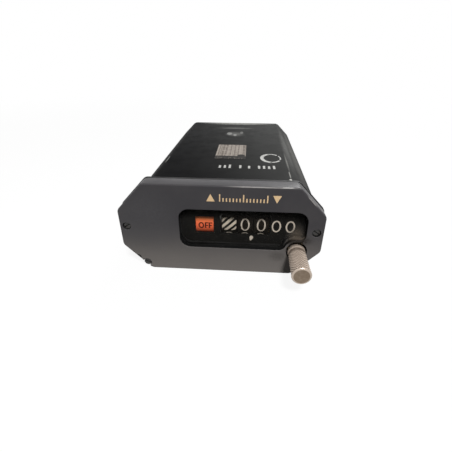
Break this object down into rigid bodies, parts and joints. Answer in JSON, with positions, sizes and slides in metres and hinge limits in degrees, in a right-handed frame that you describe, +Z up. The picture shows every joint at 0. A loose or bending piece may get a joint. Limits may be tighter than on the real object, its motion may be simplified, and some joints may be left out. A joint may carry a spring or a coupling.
{
  "type": "altitude alerter",
  "caption": "Panel-mounted altitude alerter: octagonal bezel with a drum counter and warning flag behind a window, a knurled setting knob and a long clamp-mounted case.",
  "frame": {"origin": "centre of the footprint, at the level of the surface that the case lies on", "axes": "+X to the right seen from the front, +Y into the panel along the case, +Z up"},
  "size_m": [0.0866, 0.1518, 0.0413],
  "materials": {
    "bezel_paint": "semi-gloss grey enamel on aluminium, worn bright along the front edges",
    "flange_black": "matte black",
    "window_glass": "clear, slightly dusty",
    "black_rubber": "matte",
    "dial_black": "matte black with cream figures",
    "dark_screw": "black oxide",
    "brass": "machined",
    "lamp_glass": "clear",
    "machined_aluminium": "machined, clear chromate",
    "case_black": "satin black enamel, rubbed along the edges",
    "bright_steel": "ground",
    "drum_black": "matte black with cream figures",
    "spring_bronze": "rolled strip",
    "knob_metal": "plated, knurled, dirty in the grooves",
    "flag_orange": "fluorescent orange-red paint",
    "coil_enamel": "enamelled wire under varnish",
    "synchro_grey": "anodised",
    "board_green": "lacquered laminate",
    "capacitor_sleeve": "shrink sleeve",
    "transformer_core": "varnished laminations",
    "connector_alloy": "olive chromate",
    "insert_plastic": "moulded",
    "contact_gold": "gold plated",
    "wire_sleeve": "laced wires in a sleeve"
  },
  "bodies": {
    "case": {"bezel": "bezel_paint", "mounting_flange": "flange_black", "window_glass": "window_glass", "window_spacer": "black_rubber", "dial_mask": "dial_black", "window_retainer": "dial_black", "bezel_screws": "dark_screw", "clamp_screw": "dark_screw", "clamp_nut": "brass", "panel_lamps": "lamp_glass", "front_plate": "machined_aluminium", "case_sleeve": "case_black", "rear_cover": "case_black", "rear_cover_screws": "bright_steel", "tie_rods": "machined_aluminium", "chassis_tray": "machined_aluminium", "counter_plate_left": "machined_aluminium", "counter_plate_right": "machined_aluminium", "counter_pillars": "machined_aluminium", "plate_screws": "bright_steel", "drum_shaft": "bright_steel", "shaft_clips": "dark_screw", "transfer_plate_left": "machined_aluminium", "transfer_plate_right": "machined_aluminium", "detent_spring": "spring_bronze", "knob_bush": "brass", "flag_spring": "spring_bronze", "flag_bracket": "machined_aluminium", "flag_coil": "coil_enamel", "synchro_housing": "synchro_grey", "synchro_mount": "machined_aluminium", "lower_board": "board_green", "upper_board": "board_green", "board_pillars": "brass", "capacitors": "capacitor_sleeve", "transformer": "transformer_core", "relay": "synchro_grey", "connector_shell": "connector_alloy", "connector_insert": "insert_plastic", "connector_pins": "contact_gold", "wire_harness": "wire_sleeve"},
    "knob": {"knob": "knob_metal", "knob_pin": "dark_screw", "knob_shaft": "bright_steel", "knob_collar": "bright_steel", "knob_bevel_gear": "brass"},
    "cross_shaft": {"cross_shaft": "bright_steel", "cross_gear": "brass", "cross_bevel_gear": "brass", "detent_wheel": "bright_steel"},
    "hundreds_drum": {"drum_hundreds": "drum_black", "hundreds_gear": "brass"},
    "thousands_drum": {"drum_thousands": "drum_black"},
    "ten_thousands_drum": {"drum_ten_thousands": "drum_black"},
    "right_pinion": {"transfer_pinion_right": "brass"},
    "left_pinion": {"transfer_pinion_left": "brass"},
    "synchro_rotor": {"synchro_shaft": "bright_steel", "synchro_gear": "brass"},
    "flag": {"off_flag": "flag_orange", "flag_shaft": "bright_steel"}
  },
  "joints": [
    {"name": "knob_turn", "type": "hinge", "parent": "case", "child": "knob", "pos_m": [0.0327, -0.0591, 0.0122], "axis": [0, 1, 0], "continuous": true},
    {"name": "cross_shaft_turn", "type": "hinge", "parent": "case", "child": "cross_shaft", "pos_m": [0, -0.02987, 0.0122], "axis": [1, 0, 0], "continuous": true},
    {"name": "hundreds_turn", "type": "hinge", "parent": "case", "child": "hundreds_drum", "pos_m": [0.01046, -0.0416, 0.02155], "axis": [1, 0, 0], "continuous": true},
    {"name": "thousands_turn", "type": "hinge", "parent": "case", "child": "thousands_drum", "pos_m": [0.01046, -0.0416, 0.02155], "axis": [1, 0, 0], "continuous": true},
    {"name": "ten_thousands_turn", "type": "hinge", "parent": "case", "child": "ten_thousands_drum", "pos_m": [0.01046, -0.0416, 0.02155], "axis": [1, 0, 0], "continuous": true},
    {"name": "right_pinion_turn", "type": "hinge", "parent": "case", "child": "right_pinion", "pos_m": [0.01046, -0.03392, 0.02155], "axis": [1, 0, 0], "continuous": true},
    {"name": "left_pinion_turn", "type": "hinge", "parent": "case", "child": "left_pinion", "pos_m": [0.0035, -0.03392, 0.02155], "axis": [1, 0, 0], "continuous": true},
    {"name": "synchro_turn", "type": "hinge", "parent": "case", "child": "synchro_rotor", "pos_m": [0, -0.01487, 0.0122], "axis": [1, 0, 0], "continuous": true},
    {"name": "flag_swing", "type": "hinge", "parent": "case", "child": "flag", "pos_m": [-0.0071, -0.0451, 0.02115], "axis": [-1, 0, 0], "range_deg": [0, 65], "stiffness_Nm_per_rad": 0.0005}
  ],
  "couplings": [
    {"joint": "cross_shaft_turn", "follows": "knob_turn", "ratio": -1},
    {"joint": "hundreds_turn", "follows": "knob_turn", "ratio": 1},
    {"joint": "thousands_turn", "follows": "knob_turn", "ratio": 0.1},
    {"joint": "ten_thousands_turn", "follows": "knob_turn", "ratio": 0.01},
    {"joint": "right_pinion_turn", "follows": "knob_turn", "ratio": 0.5},
    {"joint": "left_pinion_turn", "follows": "knob_turn", "ratio": 0.05},
    {"joint": "synchro_turn", "follows": "knob_turn", "ratio": 1}
  ]
}
